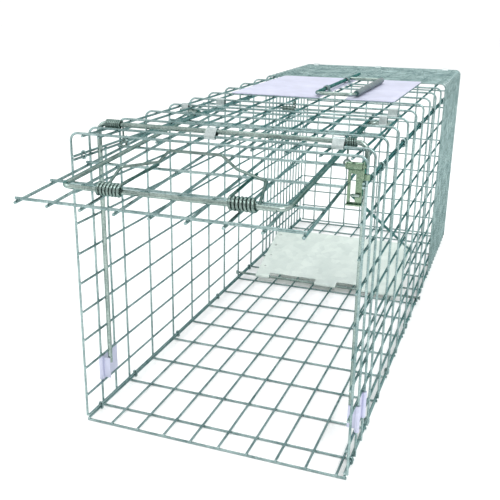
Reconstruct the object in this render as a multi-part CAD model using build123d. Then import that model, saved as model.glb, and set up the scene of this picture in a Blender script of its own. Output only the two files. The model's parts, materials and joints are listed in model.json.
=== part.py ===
from build123d import *
import math
import os

# Live catch trap: a collapsible welded wire cage with a drop door, modelled in
# the set position. Millimetres. The cage frame used below has x = 0 on the cage's
# middle plane, y = 0 at the entrance wire and z = 0 on the ground; save() moves
# every piece to the shared origin under the middle of the whole trap.

# ---- driving dimensions -------------------------------------------------------
CAGE_WIDTH = 237.0          # between the centre lines of the side wall uprights
CAGE_HEIGHT = 259.7         # ground to the centre line of the top cross wires
CAGE_LENGTH = 675.0         # first to last cross wire
MESH_PITCH = 25.4           # between lengthwise wires
COARSE_STEP = 50.57         # between cross wires ahead of the fine mesh
FIRST_STEP = 27.4           # first to second cross wire
COARSE_COUNT = 9            # coarse steps after the second cross wire
FINE_COUNT = 12             # steps of the fine mesh at the bait end
EXTRA_UPRIGHT = 52.1        # extra upright that backs the hoop latch plate
WALL_ROW = 26.45            # between lengthwise wires of a side wall
CORNER_BEND = 6.5           # bend radius of the top cross wires
TOP_EDGE = 107.5            # outermost lengthwise wires of the top
WIRE = 2.0                  # mesh wire diameter
GAP = 0.3                   # running clearance between moving pieces
SHEET = 0.8                 # thickness of the sheet-metal clips
ORIGIN_BACK = 289.595       # from the entrance wire back to the middle of the trap

HALF = CAGE_WIDTH / 2
INNER = HALF - WIRE         # centre line of the walls' lengthwise wires
HINGE_ROW = 9 * WALL_ROW    # height of a side wall's top wire
HINGE_STEP = 2.8            # between the two wires that a hinge ring joins
SILL = 5.8                  # height of a side wall's bottom wire
RING_WIRE = 1.4
END = 1.2                   # how far a mesh wire runs past its last weld

HOOP_Y = 32.0
HOOP_Z = 263.0
HOOP_WIRE = 4.0
HOOP_LEG_X = 111.6
HOOP_FOOT_Z = 44.0
HOOP_BEND = 7.0

DOOR_WIRE = 2.2
DOOR_HALF = 102.0
DOOR_HINGE = (FIRST_STEP + 4 * COARSE_STEP, 255.0)
DOOR_FRONT_Y = -94.5
DOOR_TILT = 4.22            # degrees below level when set
DOOR_CROSS_Y = (-52.3, -2.5, 48.3, 99.1, 149.9, 200.7)

BAIL_WIRE = 3.5
BAIL_HALF = 83.0
BAIL_PIVOT = (FIRST_STEP + 3 * COARSE_STEP, 254.4)
BAIL_LENGTH = 249.6
BAIL_TILT = 4.18
BAIL_STUB_X = 106.0
SPRING_WIRE = 2.2
SPRING_MIDDLE = 4.75        # the door spring sits a little to one side
SPRING_LEAN = -6.0          # sideways lean of its legs
SPRING_COIL = (39.85, 57.15)  # inner and outer end of a coil, from the spring's middle
SPRING_TURNS = 6.5
SPRING_MEAN = 3.9
SPRING_LIFT = 0.95

TREADLE_Y = 384.5
TREADLE_Z = 8.4
TREADLE_TILT = 19.3
TREADLE_HALF = 93.5
TREADLE_LENGTH = 104.0
TREADLE_ROD = 3.0

CATCH_PIN = (3.0, 252.0)
CATCH_HOOK_Z = 231.0
TRIP_WIRE = 2.6
TRIP_FRONT_X = 108.0
TRIP_EAR = (450.0, 46.0)

REAR_HINGE = (CAGE_LENGTH - 4.0, 254.5)
REAR_ROWS = 10
REAR_DROP = 248.0

HANDLE_X = (4.0, 45.3)
HANDLE_Y = (284.0, 446.0)
HANDLE_TAIL = 503.0         # free end of the handle's hinge side
GRIP_Y = (296.0, 440.0)
HANDLE_Z = 265.2
HANDLE_WIRE = 4.0
GUARD_Y = (278.0, 480.0)
GUARD_SHEET = 0.8

COARSE_Y = [0.0] + [FIRST_STEP + COARSE_STEP * i for i in range(COARSE_COUNT + 1)]
FINE_STEP = (CAGE_LENGTH - COARSE_Y[-1]) / FINE_COUNT
FINE_Y = [COARSE_Y[-1] + FINE_STEP * (i + 1) for i in range(FINE_COUNT)]
CROSS_Y = COARSE_Y + FINE_Y
LENGTHWISE_X = [-HALF + MESH_PITCH * i for i in range(1, 10)]


# ---- building blocks ----------------------------------------------------------
def rod(start, end, diameter):
    """A straight round wire."""
    run = Vector(*end) - Vector(*start)
    return Solid.make_cylinder(diameter / 2, run.length, Plane(origin=start, z_dir=run))


def swept(path, diameter):
    """A round wire along a smooth path."""
    section = Plane(origin=path @ 0, z_dir=path % 0) * Circle(diameter / 2)
    return sweep(section, path=path).solids()[0]


def bent_wire(points, diameter, bend):
    """A round wire bent at each corner of a polyline."""
    return swept(FilletPolyline(*points, radius=bend), diameter)


def block(low, high):
    """A box between two corners."""
    size = [b - a for a, b in zip(low, high)]
    middle = [(a + b) / 2 for a, b in zip(low, high)]
    return Location(middle) * Box(*size)


def belt(centre_a, radius_a, centre_b, radius_b, x_middle, width):
    """A solid belt outline around two circles in the Y-Z plane, extruded along X."""
    face_a = Location((centre_a[0], centre_a[1])) * Circle(radius_a)
    face_b = Location((centre_b[0], centre_b[1])) * Circle(radius_b)
    outline = make_hull(face_a.edges() + face_b.edges())
    plane = Plane(origin=(x_middle - width / 2, 0, 0), x_dir=(0, 1, 0), z_dir=(1, 0, 0))
    return plane * extrude(outline, width)


def clip(centre_a, radius_a, centre_b, radius_b, x_middle, width):
    """A sheet strap closed around two parallel wires that run along X."""
    outer = belt(centre_a, radius_a + GAP + SHEET, centre_b, radius_b + GAP + SHEET, x_middle, width)
    inner = belt(centre_a, radius_a + GAP, centre_b, radius_b + GAP, x_middle, width + 2)
    return (outer - inner).solids()[0]


def hinge_ring(x, y, z_low):
    """A closed ring around two lengthwise wires, one HINGE_STEP above the other."""
    reach = WIRE / 2 + RING_WIRE / 2 + 0.1
    plane = Plane(origin=(x, y, z_low + HINGE_STEP / 2), x_dir=(0, 0, 1), z_dir=(0, 1, 0))
    outline = plane * SlotCenterToCenter(HINGE_STEP, 2 * reach)
    path = outline.wire()
    section = Plane(origin=path @ 0, z_dir=path % 0) * Circle(RING_WIRE / 2)
    return sweep(section, path=path).solids()[0]


def coil(centre, mean_radius, wire, turns, length, phase):
    """A right-handed coil along +X; phase turns its start from -Z towards +Y."""
    line = Helix(pitch=length / turns, height=length, radius=mean_radius)
    section = Plane(origin=line @ 0, z_dir=line % 0) * Circle(wire / 2)
    body = sweep(section, path=line, is_frenet=True).solids()[0]
    return Location(centre) * (Rotation(phase, 0, 0) * (Rotation(0, 90, 0) * body))


def group(solids):
    """Several separate solids of one node."""
    return Compound(children=list(solids))


def save(name, shape):
    """Write one sub-part in the shared frame."""
    moved = Location((0, -ORIGIN_BACK, 0)) * shape
    export_step(moved, f"parts/{name}.step")


# ---- cage panels --------------------------------------------------------------
def floor_mesh():
    """Flat panel: cross wires on the ground, lengthwise wires on top of them."""
    low, high = WIRE / 2, 1.5 * WIRE
    back_y = [COARSE_Y[-1] + COARSE_STEP * i for i in range(1, 4)]
    cross = [rod((-HALF + 0.5, y, low), (HALF - 0.5, y, low), WIRE)
             for y in COARSE_Y + back_y + [CAGE_LENGTH]]
    along = [rod((x, -END, high), (x, CAGE_LENGTH + END, high), WIRE)
             for x in [-INNER] + LENGTHWISE_X + [INNER]]
    return group(cross + along)


def wall_mesh(side):
    """Side wall: uprights outside, lengthwise wires inside."""
    top = HINGE_ROW + END
    uprights = [rod((side * HALF, y, SILL - END), (side * HALF, y, top), WIRE)
                for y in CROSS_Y + [EXTRA_UPRIGHT]]
    rows = [SILL] + [WALL_ROW * i for i in range(1, 10)]
    along = [rod((side * INNER, -END, z), (side * INNER, CAGE_LENGTH + END, z), WIRE)
             for z in rows]
    return group(uprights + along)


def top_cross_wire(y):
    """One cross wire of the top panel: a straight run and two bent ends that meet it."""
    foot = HINGE_ROW + END + GAP
    joint = HALF - CORNER_BEND - 4.0
    pieces = [rod((-joint, y, CAGE_HEIGHT), (joint, y, CAGE_HEIGHT), WIRE)]
    for side in (-1, 1):
        pieces.append(bent_wire([(side * joint, y, CAGE_HEIGHT), (side * HALF, y, CAGE_HEIGHT),
                                 (side * HALF, y, foot)], WIRE, CORNER_BEND))
    return pieces


def top_mesh():
    """Top panel with a flange bent down along each side."""
    cross = [piece for y in CROSS_Y for piece in top_cross_wire(y)]
    under = CAGE_HEIGHT - WIRE
    flange = HINGE_ROW + HINGE_STEP
    places = [(x, under) for x in [-TOP_EDGE] + LENGTHWISE_X[:-1] + [TOP_EDGE]]
    places += [(-INNER, flange), (INNER, flange)]
    along = [rod((x, -END, z), (x, CAGE_LENGTH + END, z), WIRE) for x, z in places]
    return group(cross + along)


def hinge_rings(side, low_z, y_places):
    """The row of rings that joins two panels along one edge."""
    return group(hinge_ring(side * INNER, y, low_z) for y in y_places)


def rear_panel():
    """End panel that hangs from the last top wires."""
    y, top = REAR_HINGE
    step = REAR_DROP / REAR_ROWS
    rows = [rod((-113.0, y, top - step * i), (113.0, y, top - step * i), WIRE)
            for i in range(REAR_ROWS + 1)]
    posts = [rod((x, y + WIRE, top - REAR_DROP - END), (x, y + WIRE, top + END), WIRE)
             for x in [-111.8] + LENGTHWISE_X]
    return group(rows + posts)


def rear_clips():
    """Three straps that hang the end panel from the last top cross wire."""
    return group(clip(REAR_HINGE, WIRE / 2, (CAGE_LENGTH, CAGE_HEIGHT), WIRE / 2, x, 8.0)
                 for x in (-100.2, -3.0, 97.0))


# ---- front hoop ---------------------------------------------------------------
def front_hoop():
    """Heavy inverted U that keeps the cage square."""
    x = HOOP_LEG_X
    return bent_wire([(-x, HOOP_Y, HOOP_FOOT_Z), (-x, HOOP_Y, HOOP_Z),
                      (x, HOOP_Y, HOOP_Z), (x, HOOP_Y, HOOP_FOOT_Z)], HOOP_WIRE, HOOP_BEND)


def hoop_clips():
    """Two straps that hold the hoop's bar to the second top cross wire."""
    return group(clip((HOOP_Y, HOOP_Z), HOOP_WIRE / 2, (FIRST_STEP, CAGE_HEIGHT), WIRE / 2, x, 9.0)
                 for x in (-10.2, 90.5))


def hoop_spring(side, leg_x, turns):
    """Torsion spring around the hoop's bar, with one leg down into the cage."""
    wire = 1.6
    mean = HOOP_WIRE / 2 + GAP + wire / 2
    y = HOOP_Y + mean
    winding = coil((leg_x, HOOP_Y, HOOP_Z), mean, wire, turns, turns * (wire + 0.1), 90.0)
    foot = 249.9
    leg = rod((leg_x, y, HOOP_Z), (leg_x, y, foot), wire)
    turn = Plane(origin=(leg_x, y, foot - 2.3 - wire / 2), x_dir=(0, 0, 1), z_dir=(0, 1, 0))
    eye = turn * Torus(2.3, wire / 2)
    pieces = [winding, leg, eye]
    if side < 0:
        pieces = [mirror(piece, about=Plane.YZ) for piece in pieces]
    return group(pieces)


def latch_plate(side):
    """Sheet bracket curled around two uprights, with a lip ahead of the hoop's foot."""
    low_z, high_z = WALL_ROW + 1.3, 2 * WALL_ROW - 1.3
    sheet = 1.0
    curl_in, curl_out = WIRE / 2 + 0.1, WIRE / 2 + 0.1 + sheet
    web_in = HALF - curl_out
    front, back = FIRST_STEP, EXTRA_UPRIGHT
    web = block((web_in, front, low_z), (web_in + sheet, back, high_z))
    lip = block((web_in - 6.4, 28.2, low_z + 2), (web_in + 0.2, 29.2, high_z - 2))
    plate = web + lip
    for y in (front, back):
        tube = rod((HALF, y, low_z), (HALF, y, high_z), 2 * curl_out)
        bore = rod((HALF, y, low_z - 1), (HALF, y, high_z + 1), 2 * curl_in)
        plate = plate + tube
        plate = plate - bore
    hole = rod((web_in - 2, HOOP_Y + 8, 41.0), (web_in + 3, HOOP_Y + 8, 41.0), 7.0)
    plate = plate - hole
    if side < 0:
        plate = mirror(plate, about=Plane.YZ)
    return plate.solids()[0]


# ---- door and lock bail -------------------------------------------------------
def door_place():
    """The door's own frame: hinge line at its origin, free edge towards -Y."""
    return Location((0, DOOR_HINGE[0], DOOR_HINGE[1]), (DOOR_TILT, 0, 0))


def door_reach(y):
    """Distance along the set door from its hinge to a given y."""
    return (DOOR_HINGE[0] - y) / math.cos(math.radians(DOOR_TILT))


def door_mesh():
    """Drop door: cross wires on top, lengthwise wires below them."""
    reaches = [0.0, door_reach(DOOR_FRONT_Y)] + [door_reach(y) for y in DOOR_CROSS_Y]
    side = DOOR_HALF + 1.5
    cross = [rod((-side, -s, 0), (side, -s, 0), DOOR_WIRE) for s in reaches]
    tip = door_reach(DOOR_FRONT_Y) + 3.5
    step = DOOR_HALF / 4
    along = [rod((step * i, 1.5, -DOOR_WIRE), (step * i, -tip, -DOOR_WIRE), DOOR_WIRE)
             for i in range(-4, 5)]
    return door_place() * group(cross + along)


def door_hinge_clips():
    """Two straps that hang the door from a top cross wire."""
    return group(clip(DOOR_HINGE, DOOR_WIRE / 2, (DOOR_HINGE[0], CAGE_HEIGHT), WIRE / 2, x, 9.0)
                 for x in (-83.0, 96.0))


def door_hinge_spring():
    """Small torsion spring around the door's hinge wire, hooked over a top wire."""
    wire = 1.4
    mean = DOOR_WIRE / 2 + GAP + wire / 2
    y, z = DOOR_HINGE
    start, length = -15.4, 12.4
    winding = coil((start, y, z), mean, wire, 8, length, 90.0)
    x = start + length
    hook = bent_wire([(x, y + mean, z), (x, y + mean, 263.0),
                      (x, y - 3.4, 263.0), (x, y - 3.4, 259.0)], wire, 1.6)
    return group([winding, hook])


def bail_place():
    """The bail's own frame: pivot line at its origin, front bar towards -Y."""
    return Location((0, BAIL_PIVOT[0], BAIL_PIVOT[1]), (BAIL_TILT, 0, 0))


def lock_bail():
    """U-shaped bail that rides down on the door and locks it shut."""
    x, reach, stub = BAIL_HALF, BAIL_LENGTH, BAIL_STUB_X
    frame = bent_wire([(-stub, 0, 0), (-x, 0, 0), (-x, -reach, 0),
                       (x, -reach, 0), (x, 0, 0), (stub, 0, 0)], BAIL_WIRE, 8.0)
    return bail_place() * frame


def bail_pivot_clips():
    """Two straps that carry the bail's stubs under a top cross wire."""
    return group(clip(BAIL_PIVOT, BAIL_WIRE / 2, (BAIL_PIVOT[0], CAGE_HEIGHT), WIRE / 2, x, 7.0)
                 for x in (-100.3, 96.1))


def spring_points(side):
    """Half of the door spring's bridge, from a coil's outer end to the middle arch."""
    bar = -BAIL_LENGTH
    low = SPRING_LIFT - SPRING_MEAN
    outer = SPRING_MIDDLE + side * SPRING_COIL[1]
    points = [(outer, bar, low), (outer, bar + 6, low)]
    for across, back, rise in ((56.5, 41.2, 4.0), (30.6, 52.5, 7.0), (20.5, 50.0, 17.0)):
        points.append((SPRING_MIDDLE + SPRING_LEAN + side * across, bar + back, rise))
    return points


def door_spring_coils():
    """The door spring's two coils, wound on the bail's front bar, and their door legs."""
    bar = -BAIL_LENGTH
    top = SPRING_LIFT + SPRING_MEAN
    inner, outer = SPRING_COIL
    winding = coil((inner, bar, SPRING_LIFT), SPRING_MEAN, SPRING_WIRE,
                   SPRING_TURNS, outer - inner, 180.0)
    pieces = []
    for side in (-1, 1):
        half = winding if side > 0 else mirror(winding, about=Plane.YZ)
        pieces.append(Location((SPRING_MIDDLE, 0, 0)) * half)
        start = SPRING_MIDDLE + side * inner
        pieces.append(bent_wire([(start, bar, top), (start, bar + 10, top),
                                 (start + SPRING_LEAN, bar + 69, -0.5)], SPRING_WIRE, 8.0))
    return bail_place() * group(pieces)


def door_spring_bridge():
    """The raised bridge between the door spring's coils."""
    points = spring_points(1) + spring_points(-1)[::-1]
    return bail_place() * bent_wire(points, SPRING_WIRE, 3.0)


# ---- treadle, trip rod and catch ----------------------------------------------
def treadle_place():
    """The treadle's own frame: hinge rod at its origin, plate towards +Y."""
    return Location((0, TREADLE_Y, TREADLE_Z), (TREADLE_TILT, 0, 0))


def treadle_plate():
    """Sheet treadle curled around its hinge rod in three knuckles."""
    sheet, bore, out = 1.0, TREADLE_ROD / 2 + GAP, TREADLE_ROD / 2 + GAP + 1.0
    plate = block((-TREADLE_HALF, 0, out - sheet), (TREADLE_HALF, TREADLE_LENGTH, out))
    knuckles = [(-TREADLE_HALF, -75), (-13, 15), (49, TREADLE_HALF)]
    for low, high in knuckles:
        plate = plate + rod((low, 0, 0), (high, 0, 0), 2 * out)
    plate = plate - rod((-100, 0, 0), (100, 0, 0), 2 * bore)
    for low, high in ((-75, -13), (15, 49)):
        plate = plate - block((low, -5, -5), (high, 5, 5))
    lip = block((-TREADLE_HALF, TREADLE_LENGTH - sheet, out - 7), (TREADLE_HALF, TREADLE_LENGTH, out))
    plate = plate + lip
    for x in (-TREADLE_HALF + 7, TREADLE_HALF - 7):
        for y in (18, 42, 66, 90):
            plate = plate - rod((x, y, out - 3), (x, y, out + 2), 3.2)
    ear_y, ear_z = ear_local()
    ear = block((TREADLE_HALF - sheet, ear_y - 7, out - sheet), (TREADLE_HALF, ear_y + 7, ear_z + 5))
    plate = plate + ear
    plate = plate - rod((TREADLE_HALF - 4, ear_y, ear_z), (TREADLE_HALF + 3, ear_y, ear_z), 3.4)
    return treadle_place() * plate.solids()[0]


def ear_local():
    """The trip rod's pivot in the treadle's own frame."""
    turn = math.radians(TREADLE_TILT)
    dy, dz = TRIP_EAR[0] - TREADLE_Y, TRIP_EAR[1] - TREADLE_Z
    return (dy * math.cos(turn) + dz * math.sin(turn),
            -dy * math.sin(turn) + dz * math.cos(turn))


def treadle_rod():
    """Hinge rod through both side walls, with an upset head at each end."""
    tip = 121.8
    shaft = rod((-tip, TREADLE_Y, TREADLE_Z), (tip, TREADLE_Y, TREADLE_Z), TREADLE_ROD)
    for side in (-1, 1):
        shaft = shaft + rod((side * 120.3, TREADLE_Y, TREADLE_Z),
                            (side * tip, TREADLE_Y, TREADLE_Z), 5.0)
    return shaft.solids()[0]


def trip_rod():
    """Long rod from the treadle's ear to the catch, with a hooked length at each end."""
    ear_y, ear_z = TRIP_EAR
    hook_y = CATCH_PIN[0]
    wire = bent_wire([(90.0, ear_y, ear_z), (98.5, ear_y, ear_z),
                      (TRIP_FRONT_X, hook_y, CATCH_HOOK_Z), (113.5, hook_y, CATCH_HOOK_Z)],
                     TRIP_WIRE, 2.0)
    front = block((80, -20, 0), (HALF, hook_y + 5, CAGE_HEIGHT))
    rear = block((80, ear_y - 5, 0), (HALF, ear_y + 20, CAGE_HEIGHT))
    lengths = [wire & front, wire - front - rear, wire & rear]
    return group([length.solids()[0] for length in lengths])


def door_catch():
    """Sheet lever that hangs on the catch pin beside the set door."""
    y, z = CATCH_PIN
    sheet, bore, out = 1.0, 1.5 + GAP, 1.5 + GAP + 1.0
    low_x, high_x = 104.0, 114.6
    lever = block((low_x, y + out - sheet, 223.6), (high_x, y + out, z))
    lever = lever + rod((low_x, y, z), (high_x, y, z), 2 * out)
    lever = lever - rod((low_x - 1, y, z), (high_x + 1, y, z), 2 * bore)
    lever = lever + block((low_x, y + out - 4.5, 223.6), (high_x, y + out, 224.6))
    for edge in (low_x, high_x - sheet):
        lever = lever + block((edge, y + out - sheet, 230), (edge + sheet, y + 7, 247))
    slot = block((106.2, y, 225.4), (109.8, y + out + 1, 246))
    lever = lever - slot
    return lever.solids()[0]


def catch_bracket():
    """Sheet bracket curled around the first flange upright, with its pin's hole."""
    y, z = CATCH_PIN
    plate = block((115.2, 1.2, 242.4), (116.2, 9.5, 256.0))
    tab = block((115.2, 1.2, 243.5), (HALF, 2.1, 247.5))
    tube = rod((HALF, 0, 243.5), (HALF, 0, 247.5), 4.2)
    bore = rod((HALF, 0, 243), (HALF, 0, 248), 2.2)
    bracket = plate + tab + tube
    bracket = bracket - bore
    bracket = bracket - rod((114, y, z), (118, y, z), 3.0)
    return bracket.solids()[0]


def catch_pin():
    """Pin that the catch hangs on, headed at its free end."""
    y, z = CATCH_PIN
    pin = rod((102.6, y, z), (117.2, y, z), 3.0) + rod((102.6, y, z), (103.6, y, z), 5.0)
    return pin.solids()[0]


# ---- handle and guard ---------------------------------------------------------
def guard_plate(low_x, high_x):
    """Flat sheet on the top wires that keeps claws away from the hand."""
    low_z = CAGE_HEIGHT + WIRE / 2
    plate = block((low_x, GUARD_Y[0], low_z), (high_x, GUARD_Y[1], low_z + GUARD_SHEET))
    uprights = plate.edges().filter_by(Axis.Z)
    return fillet(uprights, 4.0).solids()[0]


def carry_handle():
    """Wire loop: a long hinge side, two arms and the side that the hand holds."""
    left, right = HANDLE_X
    near, far = HANDLE_Y
    split = (near + far) / 2
    front = bent_wire([(left, HANDLE_TAIL, HANDLE_Z), (left, near, HANDLE_Z),
                       (right, near, HANDLE_Z), (right, split, HANDLE_Z)], HANDLE_WIRE, 7.0)
    rear = bent_wire([(right, split, HANDLE_Z), (right, far, HANDLE_Z),
                      (left, far, HANDLE_Z)], HANDLE_WIRE, 7.0)
    handle = front + rear
    return handle.solids()[0]


def handle_grip():
    """Ribbed sleeve on the handle's outer side."""
    ribs, radius = 40, 2.9
    near, far = GRIP_Y
    pitch = (far - near) / ribs
    x = HANDLE_X[1]
    sleeve = rod((x, near, HANDLE_Z), (x, far, HANDLE_Z), 2 * radius)
    for i in range(ribs):
        y = near + pitch * (i + 0.5)
        sleeve = sleeve + rod((x, y - 1.1, HANDLE_Z), (x, y + 1.1, HANDLE_Z), 2 * radius + 0.8)
    sleeve = sleeve - rod((x, near - 1, HANDLE_Z), (x, far + 1, HANDLE_Z), HANDLE_WIRE)
    return sleeve.solids()[0]


def handle_saddle(y):
    """Strap over the handle's hinge side, with a foot on each side."""
    x, width, sheet = HANDLE_X[0], 9.0, 1.0
    base = CAGE_HEIGHT + WIRE / 2 + GUARD_SHEET
    bore = HANDLE_WIRE / 2 + GAP
    arch = rod((x, y - width / 2, HANDLE_Z), (x, y + width / 2, HANDLE_Z), 2 * (bore + sheet))
    cheeks = block((x - bore - sheet, y - width / 2, base), (x + bore + sheet, y + width / 2, HANDLE_Z))
    feet = block((x - 9.5, y - width / 2, base), (x + 4.6, y + width / 2, base + sheet))
    saddle = arch + cheeks + feet
    saddle = saddle - rod((x, y - width, HANDLE_Z), (x, y + width, HANDLE_Z), 2 * bore)
    saddle = saddle - block((x - bore, y - width, base - 3), (x + bore, y + width, HANDLE_Z))
    return group(saddle.solids())


def saddle_rivets():
    """Dome-headed rivets through the saddles' feet into the guard plate."""
    base = CAGE_HEIGHT + WIRE / 2 + GUARD_SHEET + 1.0
    heads = []
    for y in SADDLE_Y:
        x = HANDLE_X[0] - 7.0
        dome = Location((x, y, base)) * Sphere(2.0)
        heads.append((dome & block((x - 3, y - 3, base), (x + 3, y + 3, base + 3))).solids()[0])
    return group(heads)


SADDLE_Y = (330.0, 430.0)
LEFT_TOP_RINGS = (14.2, 86.4, 152.0, 222.0, 304.0, 406.0, 506.6, 602.8)
RIGHT_TOP_RINGS = (66.0, 170.2, 274.3, 386.1, 473.0, 570.7, 650.0)
BOTTOM_RINGS = (20.0, 86.0, 186.0, 304.0, 420.0, 520.0, 620.0)


def main():
    os.makedirs("parts", exist_ok=True)
    save("floor_mesh", floor_mesh())
    save("left_wall_mesh", wall_mesh(-1))
    save("right_wall_mesh", wall_mesh(1))
    save("top_mesh", top_mesh())
    save("rear_panel", rear_panel())
    save("rear_panel_clips", rear_clips())
    save("top_left_hinge_rings", hinge_rings(-1, HINGE_ROW, LEFT_TOP_RINGS))
    save("top_right_hinge_rings", hinge_rings(1, HINGE_ROW, RIGHT_TOP_RINGS))
    save("bottom_left_hinge_rings", hinge_rings(-1, SILL - HINGE_STEP, BOTTOM_RINGS))
    save("bottom_right_hinge_rings", hinge_rings(1, SILL - HINGE_STEP, BOTTOM_RINGS))
    save("front_hoop", front_hoop())
    save("hoop_clips", hoop_clips())
    save("hoop_spring_left", hoop_spring(-1, 90.8, 8))
    save("hoop_spring_right", hoop_spring(1, 96.4, 4))
    save("left_latch_plate", latch_plate(-1))
    save("right_latch_plate", latch_plate(1))
    save("door_mesh", door_mesh())
    save("door_hinge_clips", door_hinge_clips())
    save("door_hinge_spring", door_hinge_spring())
    save("lock_bail", lock_bail())
    save("bail_pivot_clips", bail_pivot_clips())
    save("door_spring_coils", door_spring_coils())
    save("door_spring_bridge", door_spring_bridge())
    save("treadle_plate", treadle_plate())
    save("treadle_hinge_rod", treadle_rod())
    save("trip_rod", trip_rod())
    save("door_catch", door_catch())
    save("catch_bracket", catch_bracket())
    save("catch_pin", catch_pin())
    save("guard_plate_left", guard_plate(-90.6, 9.0))
    save("guard_plate_right", guard_plate(37.0, 88.5))
    save("carry_handle", carry_handle())
    save("handle_grip", handle_grip())
    save("handle_saddle_front", handle_saddle(SADDLE_Y[0]))
    save("handle_saddle_rear", handle_saddle(SADDLE_Y[1]))
    save("saddle_rivets", saddle_rivets())


main()
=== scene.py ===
import json
import math

import bmesh
import bpy
from mathutils import Matrix, Vector

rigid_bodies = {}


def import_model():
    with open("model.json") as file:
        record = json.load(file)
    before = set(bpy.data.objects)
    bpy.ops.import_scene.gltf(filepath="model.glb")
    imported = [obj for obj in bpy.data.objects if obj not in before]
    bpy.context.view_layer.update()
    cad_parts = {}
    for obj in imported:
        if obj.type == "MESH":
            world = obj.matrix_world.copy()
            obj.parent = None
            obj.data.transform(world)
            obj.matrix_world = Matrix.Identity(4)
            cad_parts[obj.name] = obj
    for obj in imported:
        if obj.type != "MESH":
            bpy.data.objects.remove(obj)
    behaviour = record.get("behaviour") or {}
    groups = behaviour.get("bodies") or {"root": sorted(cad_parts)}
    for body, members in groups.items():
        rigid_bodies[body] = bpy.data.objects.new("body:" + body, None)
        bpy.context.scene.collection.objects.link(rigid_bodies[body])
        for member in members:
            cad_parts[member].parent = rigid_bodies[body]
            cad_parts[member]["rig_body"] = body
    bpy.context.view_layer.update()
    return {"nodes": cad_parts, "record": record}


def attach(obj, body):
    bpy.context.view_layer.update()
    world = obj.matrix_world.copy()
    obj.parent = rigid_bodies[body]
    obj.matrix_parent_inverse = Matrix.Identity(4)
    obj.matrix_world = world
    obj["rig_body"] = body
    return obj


# Looks for the live catch trap: galvanised wire, sheet and spring materials on the
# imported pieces, weld nuggets on the mesh, and a plain studio. Metres throughout.

MESH_WIRE = 0.0020
STRAIGHT_END = 0.00004      # how near a square wire's end a vertex is on its end face
SLANTED_END = 0.0004        # the same for a wire that runs at a slant
SLANTED_WIDTH = 0.0045      # a wire whose box is wider than this runs at a slant
BENT_WIDTH = 0.005          # a cross wire whose box is wider than this is bent
WELD_REACH = 1.15 * MESH_WIRE       # farthest that two welded centre lines lie apart
SHARP_ANGLE = 50.0          # degrees; edges sharper than this stay crisp
WELD_NODES = ("floor_mesh", "left_wall_mesh", "right_wall_mesh", "top_mesh", "door_mesh",
              "rear_panel")

EDGE_TINT = (0.10, 0.30, 0.30)      # colour of the zinc coat seen at a grazing angle

CAMERA_PLACE = (0.21315, -0.79280, 0.36390)
CAMERA_YAW = -21.263        # degrees, turned towards the trap's left
CAMERA_PITCH = -18.732
CAMERA_ROLL = 0.426
CAMERA_LENS = 53.86
CAMERA_SENSOR = 36.0
CAMERA_SHIFT = (0.0407, -0.0035)

FLOOR_SIZE = 14.0
FLOOR_DROP = 0.0002         # keeps the floor just clear of the lowest wires
FLOOR_COLOUR = (0.95, 0.95, 0.95)
WORLD_STRENGTH = 1.06
WHITE = (1.0, 1.0, 1.0)
# name, place, aimed at, width and depth, power in watts, colour
LIGHTS = (
    ("key", (1.3, -1.6, 2.0), (0.0, 0.0, 0.1), (1.2, 1.2), 30.0, WHITE),
    ("fill", (-1.9, -0.8, 1.4), (0.0, 0.0, 0.1), (1.2, 1.2), 9.0, (0.95, 0.99, 1.0)),
    ("top", (0.0, 0.3, 2.4), (0.0, 0.1, 0.0), (1.6, 1.6), 14.0, WHITE),
)


# ---- node helpers --------------------------------------------------------------
def new_material(name):
    """An empty node material: the node tree and its shader."""
    material = bpy.data.materials.new(name)
    material.use_nodes = True
    tree = material.node_tree
    shader = tree.nodes["Principled BSDF"]
    return material, tree, shader


def object_coordinates(tree):
    """Row-frame coordinates, which every texture here is laid in."""
    return tree.nodes.new("ShaderNodeTexCoord").outputs["Object"]


def noise(tree, scale, detail=4.0, roughness=0.6):
    node = tree.nodes.new("ShaderNodeTexNoise")
    node.inputs["Scale"].default_value = scale
    node.inputs["Detail"].default_value = detail
    node.inputs["Roughness"].default_value = roughness
    tree.links.new(object_coordinates(tree), node.inputs["Vector"])
    return node.outputs["Fac"]


def cells(tree, scale):
    """Random grey per cell, as in the spangle of a zinc coat."""
    node = tree.nodes.new("ShaderNodeTexVoronoi")
    node.inputs["Scale"].default_value = scale
    tree.links.new(object_coordinates(tree), node.inputs["Vector"])
    split = tree.nodes.new("ShaderNodeSeparateColor")
    tree.links.new(node.outputs["Color"], split.inputs["Color"])
    return split.outputs["Red"]


def ramp(tree, factor, low, high, start=0.3, end=0.7):
    """Blend between two colours or greys by a factor."""
    node = tree.nodes.new("ShaderNodeValToRGB")
    node.color_ramp.elements[0].position = start
    node.color_ramp.elements[1].position = end
    node.color_ramp.elements[0].color = (*low, 1.0)
    node.color_ramp.elements[1].color = (*high, 1.0)
    tree.links.new(factor, node.inputs["Fac"])
    return node.outputs["Color"]


def remap(tree, factor, low, high):
    node = tree.nodes.new("ShaderNodeMapRange")
    node.inputs["To Min"].default_value = low
    node.inputs["To Max"].default_value = high
    tree.links.new(factor, node.inputs["Value"])
    return node.outputs["Result"]


def mixed(tree, factor, a, b):
    node = tree.nodes.new("ShaderNodeMix")
    node.data_type = "RGBA"
    tree.links.new(factor, node.inputs[0])
    tree.links.new(a, node.inputs[6])
    tree.links.new(b, node.inputs[7])
    return node.outputs[2]


def bump(tree, shader, height, strength, distance):
    node = tree.nodes.new("ShaderNodeBump")
    node.inputs["Strength"].default_value = strength
    node.inputs["Distance"].default_value = distance
    tree.links.new(height, node.inputs["Height"])
    tree.links.new(node.outputs["Normal"], shader.inputs["Normal"])


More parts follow.
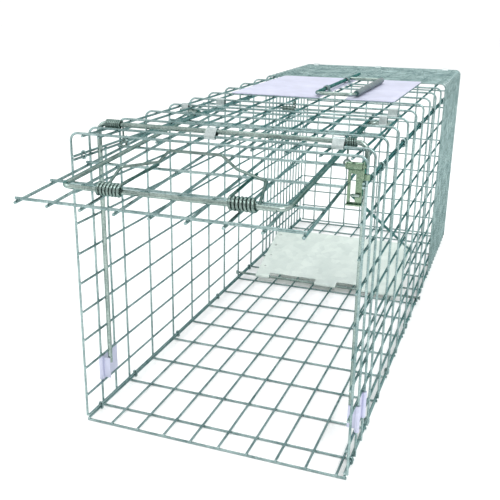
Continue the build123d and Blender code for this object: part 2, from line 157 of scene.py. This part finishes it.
# ---- materials -----------------------------------------------------------------
def zinc(name, dark, light, rough, grain=900.0, runs=60.0, metallic=0.95):
    """Galvanised steel: cloudy colour, finer grain in roughness, uneven coat in bump."""
    material, tree, shader = new_material(name)
    shader.inputs["Specular Tint"].default_value = (*EDGE_TINT, 1.0)
    cloudy = ramp(tree, noise(tree, runs), dark, light)
    speckled = ramp(tree, noise(tree, grain, 6.0, 0.7), dark, light, 0.35, 0.65)
    tree.links.new(mixed(tree, noise(tree, 150.0), cloudy, speckled), shader.inputs["Base Color"])
    gloss = remap(tree, noise(tree, grain * 0.6), rough[0], rough[1])
    tree.links.new(gloss, shader.inputs["Roughness"])
    shader.inputs["Metallic"].default_value = metallic
    bump(tree, shader, noise(tree, grain * 0.5, 5.0), 0.35, 0.0002)
    return material


def spangled(name, dark, light, rough):
    """Galvanised sheet: large flat zinc crystals mixed with a cloudy tone, and an uneven coat in bump."""
    material, tree, shader = new_material(name)
    crystals = ramp(tree, cells(tree, 140.0), dark, light, 0.0, 1.0)
    cloudy = ramp(tree, noise(tree, 25.0), dark, light)
    tree.links.new(mixed(tree, noise(tree, 60.0), crystals, cloudy), shader.inputs["Base Color"])
    tree.links.new(remap(tree, cells(tree, 140.0), rough[0], rough[1]), shader.inputs["Roughness"])
    shader.inputs["Metallic"].default_value = 0.6
    bump(tree, shader, noise(tree, 45.0, 5.0), 0.30, 0.0006)
    return material


def sleeve_plastic(name):
    """Ribbed handle sleeve: glossy, with a faint mould grain."""
    material, tree, shader = new_material(name)
    tint = ramp(tree, noise(tree, 70.0), (0.05, 0.09, 0.10), (0.12, 0.18, 0.19))
    tree.links.new(tint, shader.inputs["Base Color"])
    tree.links.new(remap(tree, noise(tree, 500.0), 0.22, 0.38), shader.inputs["Roughness"])
    bump(tree, shader, noise(tree, 1200.0), 0.2, 0.0001)
    return material


def wall_white(name, colour):
    """Matt studio white, almost even."""
    material, tree, shader = new_material(name)
    tint = ramp(tree, noise(tree, 3.0), colour, tuple(min(1.0, c * 1.01) for c in colour))
    tree.links.new(tint, shader.inputs["Base Color"])
    shader.inputs["Roughness"].default_value = 0.9
    return material


def make_materials():
    return {
        "wire": zinc("galvanised_wire", (0.06, 0.13, 0.13), (0.46, 0.58, 0.57), (0.17, 0.33)),
        "heavy_wire": zinc("galvanised_heavy_wire", (0.07, 0.12, 0.11), (0.46, 0.55, 0.51), (0.14, 0.28)),
        "spring_wire": zinc("spring_wire", (0.05, 0.09, 0.08), (0.30, 0.38, 0.35), (0.14, 0.28)),
        "sheet": spangled("galvanised_sheet", (0.46, 0.48, 0.61), (0.61, 0.63, 0.77), (0.40, 0.60)),
        "treadle_sheet": spangled("treadle_sheet", (0.56, 0.64, 0.60), (0.76, 0.83, 0.78), (0.42, 0.60)),
        "clip_sheet": zinc("bright_clip_sheet", (0.28, 0.34, 0.34), (0.62, 0.68, 0.67), (0.25, 0.40)),
        "catch_sheet": zinc("green_passivated_sheet", (0.06, 0.13, 0.08), (0.34, 0.44, 0.32), (0.18, 0.36)),
        "grip": sleeve_plastic("grip_sleeve"),
        "weld": zinc("weld_bead", (0.05, 0.11, 0.11), (0.34, 0.46, 0.45), (0.30, 0.50), 1400.0),
    }


def dress_cad_nodes(frame, materials):
    """Give every CAD node the material of its slot in the record."""
    slots = {entry["node"]: entry["material_slot"] for entry in frame["record"]["subparts"]}
    for name, node in frame["nodes"].items():
        node.data.materials.clear()
        node.data.materials.append(materials[slots[name]])
        node.data.shade_smooth()
        node.data.set_sharp_from_angle(angle=math.radians(SHARP_ANGLE))


# ---- weld nuggets --------------------------------------------------------------
def loose_parts(mesh):
    """Vertex positions of each separate wire in a node's mesh."""
    parent = list(range(len(mesh.vertices)))

    def find(i):
        while parent[i] != i:
            parent[i] = parent[parent[i]]
            i = parent[i]
        return i

    seats = {}
    for vertex in mesh.vertices:
        key = tuple(round(c * 1e6) for c in vertex.co)
        parent[vertex.index] = seats.setdefault(key, vertex.index)
    for edge in mesh.edges:
        a, b = (find(i) for i in edge.vertices)
        parent[a] = b
    parts = {}
    for vertex in mesh.vertices:
        parts.setdefault(find(vertex.index), []).append(vertex.co.copy())
    return list(parts.values())


def centre_line(points):
    """End points of a straight wire's centre line, or None for a bent one."""
    low = Vector([min(p[i] for p in points) for i in range(3)])
    high = Vector([max(p[i] for p in points) for i in range(3)])
    size = high - low
    main = max(range(3), key=lambda i: size[i])
    width = sorted(size)[1]
    if width > BENT_WIDTH and main == 0:
        return None
    depth = SLANTED_END if width > SLANTED_WIDTH else STRAIGHT_END
    near = [p for p in points if p[main] < low[main] + depth]
    far = [p for p in points if p[main] > high[main] - depth]
    start = sum(near, Vector()) / len(near)
    end = sum(far, Vector()) / len(far)
    return start, end


def crossing(a, b):
    """Middle point between two centre lines that touch as crossed wires, or None."""
    u, v, w = a[1] - a[0], b[1] - b[0], a[0] - b[0]
    uu, uv, vv, uw, vw = u.dot(u), u.dot(v), v.dot(v), u.dot(w), v.dot(w)
    spread = uu * vv - uv * uv
    if spread < 0.5 * uu * vv:
        return None
    s = (uv * vw - vv * uw) / spread
    t = (uu * vw - uv * uw) / spread
    if not (0.0 <= s <= 1.0 and 0.0 <= t <= 1.0):
        return None
    p, q = a[0] + u * s, b[0] + v * t
    if (p - q).length > WELD_REACH:
        return None
    return (p + q) / 2


def weld_points(mesh):
    lines = [line for line in map(centre_line, loose_parts(mesh)) if line]
    points = []
    for i, a in enumerate(lines):
        for b in lines[i + 1:]:
            place = crossing(a, b)
            if place:
                points.append(place)
    return points


def add_welds(frame, materials, node_name):
    """One object with a small round bead at every weld of a node."""
    node = frame["nodes"][node_name]
    build = bmesh.new()
    for number, place in enumerate(weld_points(node.data)):
        size = MESH_WIRE * (0.54 + 0.05 * math.sin(number * 2.4))
        matrix = Matrix.Translation(place) @ Matrix.Diagonal((size, size, size, 1.0))
        bmesh.ops.create_icosphere(build, subdivisions=2, radius=1.0, matrix=matrix)
    mesh = bpy.data.meshes.new(node_name + "_welds")
    build.to_mesh(mesh)
    build.free()
    mesh.shade_smooth()
    mesh.materials.append(materials["weld"])
    welds = bpy.data.objects.new(node_name + "_welds", mesh)
    bpy.context.scene.collection.objects.link(welds)
    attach(welds, node["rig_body"])


# ---- studio --------------------------------------------------------------------
def camera_axes():
    yaw, pitch, roll = (math.radians(a) for a in (CAMERA_YAW, CAMERA_PITCH, CAMERA_ROLL))
    ahead = Vector((math.sin(yaw) * math.cos(pitch), math.cos(yaw) * math.cos(pitch),
                    math.sin(pitch)))
    level = Vector((math.cos(yaw), -math.sin(yaw), 0.0))
    upright = level.cross(ahead)
    right = level * math.cos(roll) + upright * math.sin(roll)
    up = upright * math.cos(roll) - level * math.sin(roll)
    return right, up, -ahead


def add_camera():
    data = bpy.data.cameras.new("camera")
    data.lens = CAMERA_LENS
    data.sensor_width = CAMERA_SENSOR
    data.shift_x, data.shift_y = CAMERA_SHIFT
    camera = bpy.data.objects.new("camera", data)
    rotation = Matrix(camera_axes()).transposed().to_4x4()
    camera.matrix_world = Matrix.Translation(CAMERA_PLACE) @ rotation
    bpy.context.scene.collection.objects.link(camera)
    bpy.context.scene.camera = camera


def add_floor():
    bpy.ops.mesh.primitive_plane_add(size=FLOOR_SIZE, location=(0.0, 0.0, -FLOOR_DROP))
    floor = bpy.context.object
    floor.name = "floor"
    floor.data.materials.append(wall_white("studio_floor", FLOOR_COLOUR))


def add_area_light(name, place, target, size, power, colour):
    data = bpy.data.lights.new(name, "AREA")
    data.shape = "RECTANGLE"
    data.size, data.size_y = size
    data.energy = power
    data.color = colour
    light = bpy.data.objects.new(name, data)
    light.location = place
    direction = Vector(target) - Vector(place)
    light.rotation_euler = direction.to_track_quat("-Z", "Y").to_euler()
    bpy.context.scene.collection.objects.link(light)


def add_studio():
    add_floor()
    add_camera()
    for light in LIGHTS:
        add_area_light(*light)
    world = bpy.data.worlds.new("studio")
    world.use_nodes = True
    background = world.node_tree.nodes["Background"]
    background.inputs["Color"].default_value = (*WHITE, 1.0)
    background.inputs["Strength"].default_value = WORLD_STRENGTH
    bpy.context.scene.world = world
    bpy.context.scene.view_settings.view_transform = "Standard"


def main():
    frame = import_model()
    materials = make_materials()
    dress_cad_nodes(frame, materials)
    for node_name in WELD_NODES:
        add_welds(frame, materials, node_name)
    add_studio()
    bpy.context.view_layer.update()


main()
